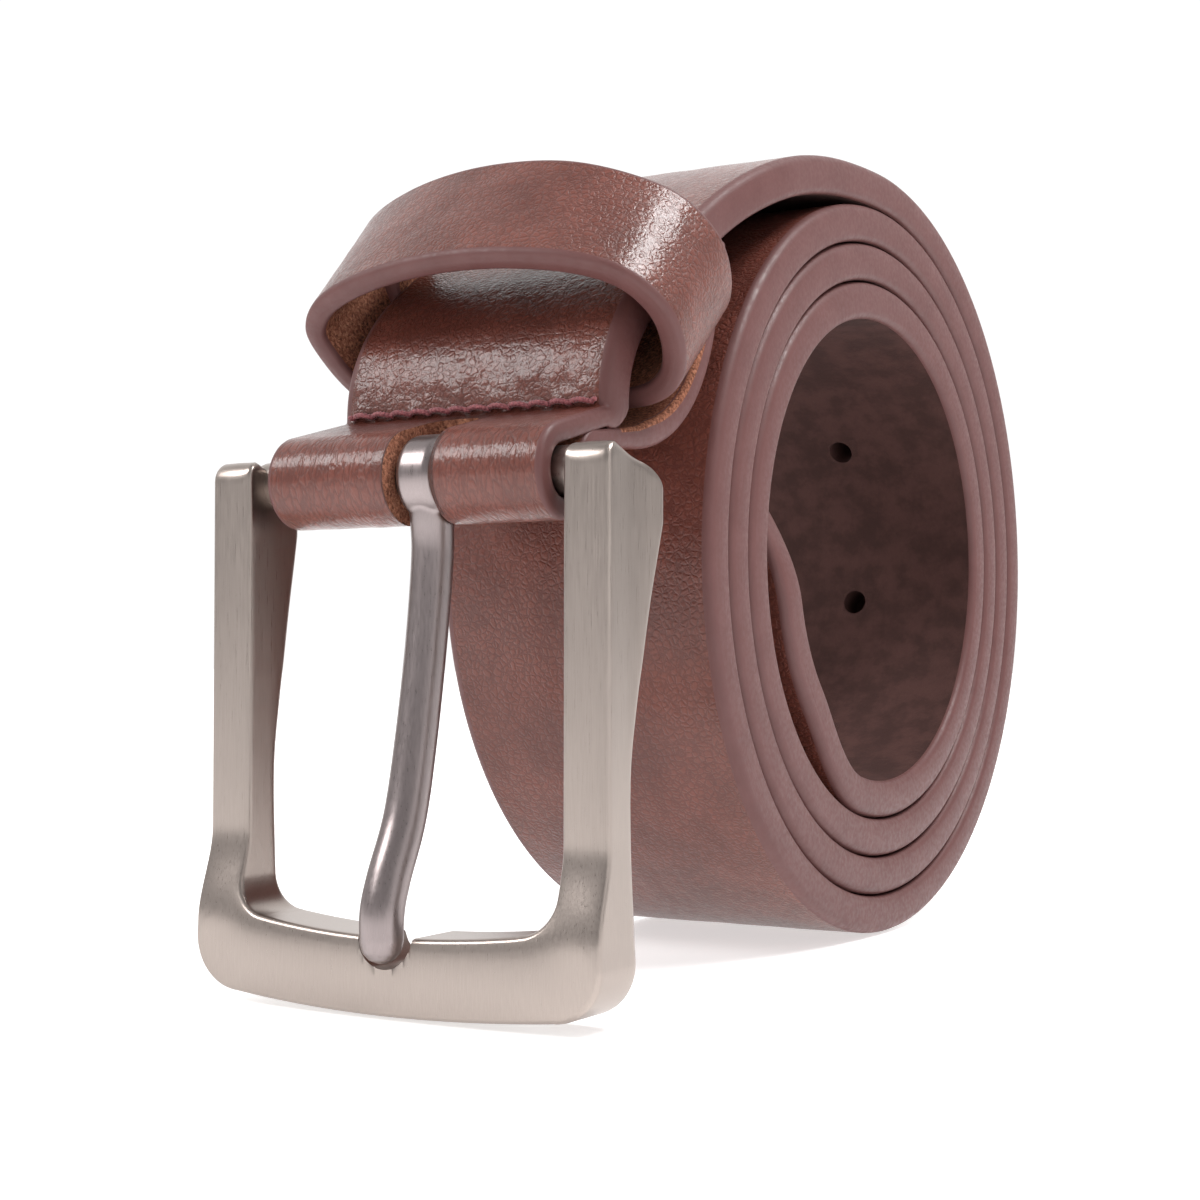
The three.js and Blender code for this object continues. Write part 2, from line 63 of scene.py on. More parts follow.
BAR_RADIUS = 2.5
SLEEVE_RADIUS = 5.1                # the sleeve's outside
FRONT_Y = -70.7                    # the grain side of the upright stretch above the crease
CREASE_Z = 63.26
CREASE_RADIUS = 0.6
KEEPER_TILT = math.radians(42)
KEEPER_Y = -62.8
KEEPER_Z = 77.2
SHIFT_Y = 17.9
SMOOTH_DEGREES = 50                # leather and its cuts shade smooth below this angle
METAL_SMOOTH_DEGREES = 35
RIGHT = np.array([1.0, 0, 0])


# ------------------------------------------------------------------ small tools
def lerp(a, b, t):
    return a + (b - a) * t


def smoothstep(x, low, high):
    t = np.clip((np.asarray(x, float) - low) / (high - low), 0, 1)
    return t * t * (3 - 2 * t)


def unit(v):
    return v / np.linalg.norm(v, axis=-1, keepdims=True)


LATTICE_SIZE = 256
LATTICE = np.random.RandomState(7).rand(LATTICE_SIZE, LATTICE_SIZE)


def value_noise(x, y):
    """Smooth noise from 0 to 1 with features about one unit across."""
    column = np.floor(x).astype(int)
    row = np.floor(y).astype(int)
    fx = smoothstep(x - column, 0, 1)
    fy = smoothstep(y - row, 0, 1)

    def corner(i, j):
        return LATTICE[(column + i) % LATTICE_SIZE, (row + j) % LATTICE_SIZE]

    return lerp(lerp(corner(0, 0), corner(1, 0), fx), lerp(corner(0, 1), corner(1, 1), fx), fy)


def fractal_noise(x, y, octaves=3):
    """Noise from -0.5 to 0.5 with finer and weaker layers on top of each other."""
    total = 0.0
    weight = 0.0
    for k in range(octaves):
        total = total + value_noise(x * 2**k + 31 * k, y * 2**k + 17 * k) / 2**k
        weight += 1 / 2**k
    return total / weight - 0.5


def bezier(p0, p1, p2, p3, u):
    """Points and unit slopes of a Bezier curve at the shares u."""
    u = np.asarray(u, float)[:, None]
    point = p0 * (1 - u) ** 3 + 3 * p1 * u * (1 - u) ** 2 + 3 * p2 * u**2 * (1 - u) + p3 * u**3
    slope = 3 * (p1 - p0) * (1 - u) ** 2 + 6 * (p2 - p1) * u * (1 - u) + 3 * (p3 - p2) * u**2
    return point, unit(slope)


def link(obj):
    bpy.context.scene.collection.objects.link(obj)
    return obj


def faces_outwards(points, faces):
    """The same closed faces, turned over if they point inwards."""
    volume = 0.0
    for face in faces:
        a, b, c = points[face[0]], points[face[1:-1]], points[face[2:]]
        volume += np.sum(np.cross(b, c) @ a)
    return faces if volume > 0 else [face[::-1] for face in faces]


def mesh_object(name, points, faces, materials, face_materials=None, sheet=None, smooth_angle=40):
    """A closed mesh in metres, from points in mm with the roll's axis at y = 0.
    sheet gives each point's place on the leather laid flat, for the materials."""
    mesh = bpy.data.meshes.new(name)
    points = (np.asarray(points, float) + [0, SHIFT_Y, 0]) * MM
    faces = faces_outwards(points, [list(face) for face in faces])
    mesh.from_pydata(points.tolist(), [], faces)
    for material in materials:
        mesh.materials.append(material)
    if face_materials is not None:
        mesh.polygons.foreach_set("material_index", np.asarray(face_materials, np.int32))
    if sheet is not None:
        attribute = mesh.attributes.new("sheet", "FLOAT_VECTOR", "POINT")
        attribute.data.foreach_set("vector", np.asarray(sheet, np.float32).ravel() * MM)
    mesh.update()
    mesh.shade_smooth()
    mesh.set_sharp_from_angle(angle=math.radians(smooth_angle))
    return link(bpy.data.objects.new(name, mesh))


def grid_faces(rows, columns, close_rows=False):
    """Quads over rows of points, each row a closed ring; close_rows joins the last row to the first."""
    i = np.arange(rows if close_rows else rows - 1)[:, None]
    j = np.arange(columns)[None, :]
    i2 = (i + 1) % rows
    j2 = (j + 1) % columns
    quads = np.stack([i * columns + j, i * columns + j2, i2 * columns + j2, i2 * columns + j], -1)
    return quads.reshape(-1, 4)


def ring_faces(rows, columns):
    """Quads over rows of closed rings, and the two caps that close the ends."""
    last = (rows - 1) * columns
    caps = [list(range(columns))[::-1], list(range(last, last + columns))]
    return grid_faces(rows, columns).tolist() + caps


def apply_modifiers(obj):
    """Makes what the modifiers show the object's own mesh."""
    graph = bpy.context.evaluated_depsgraph_get()
    result = bpy.data.meshes.new_from_object(obj.evaluated_get(graph))
    obj.modifiers.clear()
    obj.data = result


def combine(operation, obj, others, smooth_degrees):
    """Cuts the others out of obj (DIFFERENCE) or joins them to it (UNION), and drops them."""
    for other in others:
        modifier = obj.modifiers.new("combine", "BOOLEAN")
        modifier.operation = operation
        modifier.solver = "MANIFOLD"
        modifier.object = other
    apply_modifiers(obj)
    for other in others:
        bpy.data.objects.remove(other)
    obj.data.set_sharp_from_angle(angle=math.radians(smooth_degrees))


def place(obj, body, node):
    """The finished piece rides on its body and stands for its CAD node."""
    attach(obj, body)
    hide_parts(node)


# ------------------------------------------------------------------ materials
TO_MM = (1000, 1000, 1000)


class Shader:
    """Builds one node material. Lengths in its patterns are in mm."""

    def __init__(self, name, color, roughness, metallic=0.0, **sockets):
        self.material = bpy.data.materials.new(name)
        self.material.use_nodes = True
        self.tree = self.material.node_tree
        self.surface = self.tree.nodes["Principled BSDF"]
        self.set("Base Color", (*color, 1))
        self.set("Roughness", roughness)
        self.set("Metallic", metallic)
        for key, value in sockets.items():
            self.set(key.replace("_", " "), value)

    def set(self, socket, value):
        self.surface.inputs[socket].default_value = value

    def join(self, output, socket):
        self.tree.links.new(output, socket)

    def node(self, kind, inputs=None, **properties):
        made = self.tree.nodes.new(kind)
        for key, value in properties.items():
            setattr(made, key, value)
        for key, value in (inputs or {}).items():
            if isinstance(value, bpy.types.NodeSocket):
                self.join(value, made.inputs[key])
            else:
                made.inputs[key].default_value = value
        return made

    def sheet(self, scale=TO_MM):
        """The flat leather's coordinates: along, across, depth; scaled from metres to mm."""
        attribute = self.node("ShaderNodeAttribute", attribute_name="sheet")
        return self.node("ShaderNodeVectorMath", {0: attribute.outputs["Vector"], 1: scale},
                         operation="MULTIPLY").outputs[0]

    def place(self, scale=TO_MM):
        """Object coordinates, scaled from metres to mm."""
        coordinates = self.node("ShaderNodeTexCoord")
        return self.node("ShaderNodeVectorMath", {0: coordinates.outputs["Object"], 1: scale},
                         operation="MULTIPLY").outputs[0]

    def noise(self, vector, scale, detail=2.0, roughness=0.5):
        inputs = {"Vector": vector, "Scale": scale, "Detail": detail, "Roughness": roughness}
        return self.node("ShaderNodeTexNoise", inputs).outputs["Fac"]

    def voronoi(self, vector, scale, feature="DISTANCE_TO_EDGE"):
        return self.node("ShaderNodeTexVoronoi", {"Vector": vector, "Scale": scale},
                         feature=feature).outputs["Distance"]

    def shift(self, vector, amount, scale):
        """The same coordinates, wandering a little, so that no pattern runs straight."""
        wander = self.node("ShaderNodeTexNoise", {"Vector": vector, "Scale": scale, "Detail": 2.0})
        centred = self.node("ShaderNodeVectorMath", {0: wander.outputs["Color"], 1: (0.5, 0.5, 0.5)},
                            operation="SUBTRACT").outputs[0]
        scaled = self.node("ShaderNodeVectorMath", {0: centred, "Scale": amount},
                           operation="SCALE").outputs[0]
        return self.node("ShaderNodeVectorMath", {0: vector, 1: scaled}, operation="ADD").outputs[0]

    def steps(self, value, low, high, out_low=0.0, out_high=1.0):
        """A smooth step from out_low, where value is low, to out_high, where it is high."""
        inputs = {"Value": value, "From Min": low, "From Max": high, "To Min": out_low, "To Max": out_high}
        return self.node("ShaderNodeMapRange", inputs, interpolation_type="SMOOTHSTEP").outputs["Result"]

    def math(self, operation, a, b):
        return self.node("ShaderNodeMath", {0: a, 1: b}, operation=operation).outputs[0]

    def mix(self, factor, a, b):
        made = self.node("ShaderNodeMix", data_type="RGBA")
        for socket, value in ((made.inputs[0], factor), (made.inputs[6], a), (made.inputs[7], b)):
            if isinstance(value, bpy.types.NodeSocket):
                self.join(value, socket)
            elif isinstance(value, tuple):
                socket.default_value = (*value, 1)
            else:
                socket.default_value = value
        return made.outputs[2]

    def bump(self, height, depth_mm, strength=1.0, under=None):
        inputs = {"Height": height, "Distance": depth_mm * MM, "Strength": strength}
        if under is not None:
            inputs["Normal"] = under
        return self.node("ShaderNodeBump", inputs).outputs["Normal"]

    def finish(self, color=None, roughness=None, normal=None, coat_normal=None):
        for output, socket in ((color, "Base Color"), (roughness, "Roughness"), (normal, "Normal"),
                               (coat_normal, "Coat Normal")):
            if output is not None:
                self.join(output, self.surface.inputs[socket])
        return self.material


def grain_leather():
    """Glossy, pebbled full grain: creases between pebbles of two sizes, over soft waves, with painted shade
    darkening the colour in the creases.
    """
    s = Shader("grain_leather", (0.17, 0.055, 0.042), 0.4, Coat_Weight=0.5, Coat_Roughness=0.2,
               Specular_IOR_Level=0.25)
    flat = s.sheet()
    wander = s.shift(flat, 0.7, 0.9)
    pebbles = s.steps(s.voronoi(wander, 1.25), 0.0, 0.28)
    small = s.steps(s.voronoi(s.shift(flat, 0.4, 2.2), 2.6), 0.0, 0.3)
    pores = s.noise(flat, 6.0, 3.0)
    relief = s.math("ADD", s.math("MULTIPLY", pebbles, 0.6), s.math("MULTIPLY", small, 0.22))
    relief = s.math("ADD", relief, s.math("MULTIPLY", pores, 0.2))
    patches = s.steps(s.noise(flat, 0.06, 2.0), 0.35, 0.65, 0.75, 1.0)
    relief = s.math("MULTIPLY", relief, patches)
    swell = s.noise(flat, 0.35, 2.0)
    soft_waves = s.bump(swell, 0.3, 0.35)
    normal = s.bump(relief, 0.13, 0.9, soft_waves)
    coat_normal = s.bump(relief, 0.04, 0.9, soft_waves)
    tone = s.noise(flat, 0.12, 3.0)
    color = s.mix(s.steps(tone, 0.3, 0.7), (0.128, 0.036, 0.025), (0.180, 0.053, 0.037))
    # painted shade: the colour is darkened in the low creases between the pebbles, where shade would fall
    painted_crease_shade = s.math("MULTIPLY", s.steps(relief, 0.15, 0.5, 1.0, 0.0), 0.45)
    color = s.mix(painted_crease_shade, color, (0.07, 0.022, 0.017))
    roughness = s.steps(s.noise(flat, 0.9, 3.0), 0.3, 0.7, 0.33, 0.47)
    return s.finish(color, roughness, normal, coat_normal)


def painted_edge():
    """The waxed, painted edge of the leather, with faint ridges along it."""
    s = Shader("painted_edge", (0.15, 0.06, 0.055), 0.46, Specular_IOR_Level=0.35)
    flat = s.sheet()
    color = s.mix(s.noise(flat, 0.3, 3.0), (0.112, 0.043, 0.040), (0.152, 0.065, 0.061))
    ridges = s.noise(s.sheet((180, 900, 2600)), 1.0, 3.0)
    normal = s.bump(s.noise(flat, 2.2, 3.0), 0.05, 0.5, s.bump(ridges, 0.05, 0.5))
    roughness = s.steps(s.noise(flat, 1.5, 2.0), 0.3, 0.7, 0.4, 0.56)
    return s.finish(color, roughness, normal)


def flesh_side():
    """The dyed inside of the strap, brushed smooth."""
    s = Shader("flesh_side", (0.06, 0.027, 0.023), 0.85, Specular_IOR_Level=0.2)
    flat = s.sheet()
    blotches = s.noise(flat, 0.25, 4.0, 0.6)
    fibres = s.noise(s.sheet((700, 1400, 1000)), 3.0, 4.0, 0.6)
    color = s.mix(s.steps(blotches, 0.35, 0.65), (0.046, 0.020, 0.017), (0.078, 0.034, 0.029))
    color = s.mix(s.math("MULTIPLY", fibres, 0.5), color, (0.038, 0.017, 0.015))
    return s.finish(color, None, s.bump(fibres, 0.12, 0.6))


def raw_suede():
    """Undyed fibres: inside the keepers and where the leather is cut."""
    s = Shader("raw_suede", (0.42, 0.17, 0.09), 0.9, Specular_IOR_Level=0.15)
    where = s.place()
    tufts = s.noise(s.shift(where, 0.6, 1.1), 2.6, 4.0, 0.7)
    mottles = s.voronoi(s.shift(where, 0.5, 1.5), 1.7, "F1")
    color = s.mix(s.steps(tufts, 0.38, 0.62), (0.13, 0.048, 0.03), (0.52, 0.225, 0.135))
    color = s.mix(s.steps(mottles, 0.25, 0.75, 0.55, 0.0), color, (0.27, 0.1, 0.06))
    return s.finish(color, None, s.bump(tufts, 0.35, 0.9))


def brushed_metal(name, brush_scale, color=(0.42, 0.357, 0.322)):
    """Satin metal with fine brush marks that run along the axis brush_scale is smallest on."""
    s = Shader(name, color, 0.3, 1.0)
    marks = s.noise(s.place(brush_scale), 1.0, 5.0, 0.7)
    cloud = s.noise(s.place(), 0.12, 2.0)
    dull, bright, stained = (tuple(share * c for c in color) for share in (0.93, 1.05, 0.75))
    tone = s.mix(s.steps(marks, 0.3, 0.7), dull, bright)
    tone = s.mix(s.math("MULTIPLY", cloud, 0.35), tone, stained)
    roughness = s.steps(marks, 0.3, 0.7, 0.27, 0.38)
    return s.finish(tone, roughness, s.bump(marks, 0.012, 0.5))


def waxed_thread():
    s = Shader("waxed_thread", (0.3, 0.06, 0.07), 0.6, Sheen_Weight=0.3)
    twist = s.noise(s.place((3000, 5000, 5000)), 1.0, 3.0)
    color = s.mix(s.steps(twist, 0.3, 0.7), (0.17, 0.03, 0.04), (0.42, 0.12, 0.13))
    return s.finish(color, None, s.bump(twist, 0.06, 0.8))


def staple_wire():
    s = Shader("staple_wire", (0.6, 0.6, 0.58), 0.25, 1.0)
    drawn = s.noise(s.place((200, 4000, 4000)), 1.0, 3.0)
    return s.finish(None, s.steps(drawn, 0.3, 0.7, 0.2, 0.32), s.bump(drawn, 0.01, 0.4))


# A piece of leather has four materials; these are their numbers, and a fifth for the corner between the
# edge and the flesh side, which becomes EDGE or RAW.
GRAIN, EDGE, FLESH, RAW, FLESH_CORNER = range(5)
LEATHERS = (grain_leather(), painted_edge(), flesh_side(), raw_suede())
FRAME_METAL = brushed_metal("frame_metal", (9000, 9000, 260))
PRONG_METAL = brushed_metal("prong_metal", (5000, 5000, 500), (0.34, 0.288, 0.284))
THREAD = waxed_thread()
WIRE = staple_wire()


# ------------------------------------------------------------------ the strap's route
def on_roll(degrees, depth=0.0):
    """The point (y, z) at this depth under the grain, this far round the roll from its top."""
    a = np.radians(degrees)
    r = ROLL_RADIUS - ROLL_PITCH * degrees / 360 + ROLL_WIDENING * np.sin(a) ** 2 - depth
    sag = smoothstep(degrees, 1275, 1310) * (1 - smoothstep(degrees, 1335, ROLL_DEGREES))
    r = r - END_SAG * sag
    return np.stack([r * np.sin(a), ROLL_Z + r * np.cos(a)], -1)


# The runs between the roll and the buckle are Bezier curves, drawn in (y, z).
ROLL_TOP = on_roll(np.array([0.0]))[0]
BEND = np.array([-60.5, 79.5])
BEND_SLOPE = np.array([0.825, 0.565])
UPPER_RUN = (BEND, BEND + 20 * BEND_SLOPE, ROLL_TOP - [33.5, 0], ROLL_TOP)
FOOT = np.array([FRONT_Y, CREASE_Z])
LOWER_RUN = (FOOT, FOOT + [0, 7.6], BEND - 6 * BEND_SLOPE, BEND)
FLAP_TOP = np.array([-45.7, 77.4])
FLAP_FOOT = np.array([-66.5, 58.8])
FLAP_BOW = (FLAP_TOP, np.array([-46.2, 68.3]), np.array([-53.9, 58.2]), FLAP_FOOT)


def inward_of(slope):
    """The direction from the grain into the leather."""
    return np.stack([slope[:, 1], -slope[:, 0]], -1)


class Route:
    """Stations along the strap. Each row holds the grain point, the inward direction, the thickness, the
    half width, the middle's shift to the right, the grain's stretch, and how bare the flesh side is."""

    def __init__(self):
        self.rows = []

    def add(self, points, inward, thickness, half_width, middle=0.0, stretch=1.0, raw=0.0):
        values = [np.broadcast_to(np.asarray(value, float), (len(points),))
                  for value in (thickness, half_width, middle, stretch, raw)]
        self.rows.append(np.column_stack([points, inward, *values]))

    def arc(self, y, z, radius, start, end, steps, thickness, outward_grain, **more):
        """Grain side on a circle; outward_grain says whether the leather lies inside that circle."""
        a = np.radians(np.linspace(start, end, steps))
        ray = np.stack([np.cos(a), np.sin(a)], -1)
        self.add(np.array([y, z]) + radius * ray, -ray if outward_grain else ray, thickness,
                 BUCKLE_END_WIDTH / 2, **more)

    def curve(self, controls, u, thickness, half_width, **more):
        point, slope = bezier(*controls, u)
        self.add(point, inward_of(slope), thickness, half_width, **more)


def add_flap(route, half_width):
    """The flap: a thin tab under the front run, which turns down and hangs in a bow."""
    steps = 8
    point, slope = bezier(*UPPER_RUN, np.linspace(0.285, 0.235, steps))
    inward = inward_of(slope)
    thickness = lerp(0.8, 1.5, np.linspace(0, 1, steps))
    below = point + inward * (LEATHER + 0.1 + thickness)[:, None]
    route.add(below, -inward, thickness, half_width, raw=1)
    corner = below[-1]
    u = np.linspace(0.1, 1, 10)
    turn = (corner, corner - 1.6 * BEND_SLOPE, FLAP_TOP + [0.1, 2], FLAP_TOP)
    route.curve(turn, u, lerp(1.5, 2.3, u), half_width, raw=2)
    u = np.linspace(0.03, 0.97, 60)
    thickness = lerp(2.3, FLAP_LEATHER, smoothstep(u, 0, 0.4)) - 0.8 * smoothstep(u, 0.82, 1)
    route.curve(FLAP_BOW, u, thickness, half_width, raw=2)


def add_neck_and_sleeve(route, half_width):
    """The neck's lower layer, and the sleeve round the bar. The sleeve's grain is stretched."""
    neck = np.array([[-68.2, 58.55], [-70.5, 58.3], [-72.2, 58.05]])
    up = np.array([[0.1, 1.0]] * len(neck))
    route.add(neck, up, NECK_LEATHER, half_width, raw=1)
    route.arc(-73.0, 56.95, 1.0, 92, 175, 8, NECK_LEATHER, False, raw=1)
    route.arc(BAR_Y, BAR_Z, SLEEVE_RADIUS, -2, -254, 70, SLEEVE_LEATHER, True, stretch=0.45)


def add_front_run(route, half_width):
    """The crease, the upright stretch behind the buckle, and the run over to the roll."""
    steps = 7
    route.arc(FRONT_Y - CREASE_RADIUS, CREASE_Z, CREASE_RADIUS, -74, -4, steps,
              np.linspace(NECK_LEATHER, LEATHER, steps), False)
    route.curve(LOWER_RUN, np.linspace(0.01, 1, 90), LEATHER, half_width)
    u = np.concatenate([np.linspace(0.01, 0.3, 40), np.linspace(0.31, 0.985, 50)])
    widen = smoothstep(u, 0.25, 0.65)
    wider = lerp(BUCKLE_END_WIDTH, STRAP_WIDTH, widen) / 2
    route.curve(UPPER_RUN, u, LEATHER, wider, middle=ROLL_X * widen)


def add_roll(route):
    """The roll, and the tapered tip at its inner end."""
    a = np.concatenate([np.arange(1.2, 1260, 1.5), np.arange(1260, ROLL_DEGREES - 1, 1.0)])
    point = on_roll(a)
    inward = unit(on_roll(a, 1.0) - point)
    share = np.clip((ROLL_DEGREES - a) / TIP_DEGREES, 0, 1)
    half_width = lerp(TIP_HALF_WIDTH, STRAP_WIDTH / 2, np.sin(share * math.pi / 2) ** 0.8)
    route.add(point, inward, LEATHER, half_width, middle=ROLL_X)


def strap_route():
    route = Route()
    add_flap(route, BUCKLE_END_WIDTH / 2)
    add_neck_and_sleeve(route, BUCKLE_END_WIDTH / 2)
    add_front_run(route, BUCKLE_END_WIDTH / 2)
    add_roll(route)
    return np.vstack(route.rows)


# ------------------------------------------------------------------ a strip of leather
FACE_COLUMNS = 72
FLESH_COLUMNS = 24
CORNER_COLUMNS = 5
SIDE_COLUMNS = 3
GRAIN_CORNER = (0.3, 1.25)         # a corner's radius as a share of the thickness, and its limit
FLESH_CORNER_SIZE = (0.24, 0.95)
SIDE_BULGE = 0.1


def section_columns():
    """The points round every section of a strip: the flat or corner each one is on, and its place there,
    from -1 to 1 across, as a share of the way down a side, or in degrees round a corner."""
    columns = [("face", v) for v in np.linspace(-1, 1, FACE_COLUMNS)]
    columns += [("grain_corner", a) for a in np.linspace(75, 0, CORNER_COLUMNS)]
    columns += [("side", v) for v in np.linspace(0.25, 0.75, SIDE_COLUMNS)]
    columns += [("flesh_corner", a) for a in np.linspace(0, -75, CORNER_COLUMNS)]
    columns += [("back", v) for v in np.linspace(1, -1, FLESH_COLUMNS)]
    columns += [("flesh_corner_left", a) for a in np.linspace(-75, 0, CORNER_COLUMNS)]
    columns += [("side_left", v) for v in np.linspace(0.75, 0.25, SIDE_COLUMNS)]
    columns += [("grain_corner_left", a) for a in np.linspace(0, 75, CORNER_COLUMNS)]
    return columns


SECTION = section_columns()


def section_points(thickness, half_width):
    """(across, depth) of each column at every station."""
    rg = np.minimum(thickness * GRAIN_CORNER[0], GRAIN_CORNER[1])
    rf = np.minimum(thickness * FLESH_CORNER_SIZE[0], FLESH_CORNER_SIZE[1])
    across = []
    depth = []
    for kind, v in SECTION:
        sign = -1 if kind.endswith("left") else 1
        if kind == "face":
            across.append(v * (half_width - rg))
            depth.append(0 * rg)
        elif kind == "back":
            across.append(v * (half_width - rf))
            depth.append(thickness + 0 * rf)
        elif kind.startswith("side"):
            bulge = SIDE_BULGE * np.sin(math.pi * v)
            across.append(sign * (half_width + bulge * np.minimum(1, thickness / 3)))
            depth.append(lerp(rg, thickness - rf, v))
        elif kind.startswith("grain_corner"):
            a = math.radians(v)
            across.append(sign * (half_width - rg * (1 - math.cos(a))))
            depth.append(rg * (1 - math.sin(a)))
        else:
            a = math.radians(-v)
            across.append(sign * (half_width - rf * (1 - math.cos(a))))
            depth.append(thickness - rf * (1 - math.sin(a)))
    return np.stack(across, 1), np.stack(depth, 1)


def face_kinds():
    """The material number of each column of faces."""
    names = [name for name, _ in SECTION]
    kinds = []
    for name, following in zip(names, names[1:] + names[:1]):
        if name == following == "face":
            kinds.append(GRAIN)
        elif name == following == "back":
            kinds.append(FLESH)
        elif name.startswith("flesh_corner") and following.startswith("flesh_corner"):
            kinds.append(FLESH_CORNER)
        else:
            kinds.append(EDGE)
    return np.array(kinds)


def leather_strip(grain, inward, side, along, thickness, half_width, middle, raw, lift):
    """A closed strip of leather along a row of stations, with rounded painted edges: its points, faces,
    material numbers and places on the flat leather.
    lift(across, along) raises the grain; raw is 1 where the flesh side is bare suede, and 2 where
    the corner beside it is bare too."""
    across, depth = section_points(thickness, half_width)
    is_face = np.array([name == "face" for name, _ in SECTION])[None, :]
    taper = 1 - smoothstep(np.abs(across), half_width[:, None] - 2.2, half_width[:, None] - 0.9)
    depth = depth - np.where(is_face, lift(across, along[:, None]), 0) * taper
    x = across + np.asarray(middle, float).reshape(-1, 1)
    points = grain[:, None, :] + inward[:, None, :] * depth[..., None] + side * x[..., None]
    laid = np.broadcast_to(along[:, None], across.shape)
    sheet = np.stack([laid, across, depth], -1)
    rows, columns = across.shape
    kinds = np.tile(face_kinds(), rows - 1)
    bare = np.repeat(raw[:-1], columns)
    kinds = np.where((kinds == FLESH) & (bare >= 1), RAW, kinds)
    kinds = np.where((kinds == FLESH_CORNER) & (bare >= 2), RAW, kinds)
    kinds = np.where(kinds == FLESH_CORNER, EDGE, kinds)
    caps = [EDGE, EDGE]
    return points.reshape(-1, 3), ring_faces(rows, columns), kinds.tolist() + caps, sheet.reshape(-1, 3)


def in_plane(v):
    """Rows of (y, z) as (0, y, z)."""
    return np.column_stack([np.zeros(len(v)), v])


def strap():
    """The strap with its flap and sleeve, its slot for the prong and its holes."""
    table = strap_route()
    grain, inward = table[:, 0:2], unit(table[:, 2:4])
    thickness, half_width, middle, stretch, raw = table[:, 4:9].T
    step = np.concatenate([[0], np.linalg.norm(np.diff(grain, axis=0), axis=1)])
    along = np.cumsum(step * stretch)
    foot = along[np.argmin(np.abs(grain - FOOT).sum(1))]

    def lift(across, at):
        """Puckers that rise from the stitches, dents above them, and slack wrinkles further on."""
        above = at - foot
        near_seam = np.exp(-np.clip(above, 0, None) / 3.2) * (above > 0)
        upright = smoothstep(above, 0.3, 2.0) * (1 - smoothstep(above, 14, 20))
        puckers = fractal_noise(across * 0.9 + 3, above * 0.5 + across * 0.15, 3) * 0.8
        dents = fractal_noise(across * 1.9 + 50, above * 1.5 + across * 0.9, 3) * 0.13
        slack = fractal_noise(across * 0.35 + 80, above * 0.12, 3) * 0.12
        return near_seam * (puckers + 0.3) + upright * dents + slack

    points, faces, kinds, sheet = leather_strip(in_plane(grain), in_plane(inward), RIGHT, along, thickness,
                                                half_width, middle, raw, lift)
    obj = mesh_object("belt_strap", points, faces, LEATHERS, kinds, sheet, SMOOTH_DEGREES)
    cutters = [slot_cutter(), *[hole_cutter(a) for a in HOLE_ANGLES]]
    combine("DIFFERENCE", obj, cutters, SMOOTH_DEGREES)
    place(obj, "strap", "strap")


# ------------------------------------------------------------------ cuts
SLOT_LEFT = -2.0
SLOT_RIGHT = 4.0
SLOT_FRONT = -86.0
SLOT_BACK = -73.5
SLOT_HEIGHTS = (48.5, 64.0)
SLOT_ROUND = 2.2
HOLE_SIDES = 32


def cutter_object(points, faces, material):
    """A cutting tool; the faces that it leaves behind take the material of that number in LEATHERS."""
    return mesh_object("cutter", points, faces, LEATHERS, [material] * len(faces))


def slot_cutter():
    """An upright prism that cuts the prong's slot, round at the back and a little wavy, as if by hand."""
    arc = [(SLOT_ROUND * math.cos(a), SLOT_ROUND * math.sin(a)) for a in np.radians(np.linspace(0, 90, 10))]
    back = SLOT_BACK - SLOT_ROUND
    outline = [(SLOT_LEFT, SLOT_FRONT), (SLOT_RIGHT, SLOT_FRONT)]
    outline += [(SLOT_RIGHT - SLOT_ROUND + x, back + y) for x, y in arc]
    outline += [(SLOT_LEFT + SLOT_ROUND - y, back + x) for x, y in arc]
    wavy = [(x + 0.12 * math.sin(2.1 * y), y + 0.1 * math.sin(3.3 * x)) for x, y in outline]
    points = [(x, y, z) for z in SLOT_HEIGHTS for x, y in wavy]
    return cutter_object(points, ring_faces(2, len(wavy)), RAW)


def hole_cutter(degrees):
    """A round punch through the leather, this far round the roll."""
    middle = on_roll(np.array([degrees]), LEATHER / 2)[0]
    out = unit(on_roll(np.array([degrees]))[0] - middle)
    length = LEATHER + 0.3
    angles = np.linspace(0, 2 * math.pi, HOLE_SIDES, endpoint=False)
    ring = HOLE_DIAMETER / 2 * np.stack([np.cos(angles), np.sin(angles)], -1)
    points = []
    for end in (-length / 2, length / 2):
        for a, b in ring:
            points.append((a, middle[0] + out[0] * end - out[1] * b, middle[1] + out[1] * end + out[0] * b))
    return cutter_object(points, ring_faces(2, HOLE_SIDES), FLESH)


# ------------------------------------------------------------------ keepers
ALONG_STRAP = np.array([0, math.cos(KEEPER_TILT), math.sin(KEEPER_TILT)])
OFF_STRAP = np.array([0, -math.sin(KEEPER_TILT), math.cos(KEEPER_TILT)])
KEEPER_PLACE = np.array([0, KEEPER_Y, KEEPER_Z])

# Outlines across the strap, from under its middle round to the right: (across, off the strap's grain side)
FRONT_KEEPER_OUTLINE = [
    (0.2, -11.5), (10, -11.6), (17.2, -11.3), (21.5, -8.8), (23.6, -4.4), (23.6, 0.8),
    (20.6, 5.8), (14.6, 9.1), (6.5, 11.0), (-3, 11.3), (-12, 10.0), (-19.6, 7.2),
    (-23.5, 3.0), (-23.3, -2.2), (-21.2, -7.2), (-17.4, -10.8), (-10, -11.6), (-0.2, -11.5)]
REAR_KEEPER_OUTLINE = [
    (0.2, -8.2), (10, -8.2), (16.6, -7.9), (19.3, -5.9), (20.6, -1.8), (20.1, 1.6),
    (17.0, 4.3), (11.0, 5.8), (0, 6.3), (-11.0, 5.7), (-16.4, 4.1), (-19.0, 1.6),
    (-19.4, -1.8), (-18.6, -5.2), (-15.9, -7.9), (-10, -8.2), (-0.2, -8.2)]


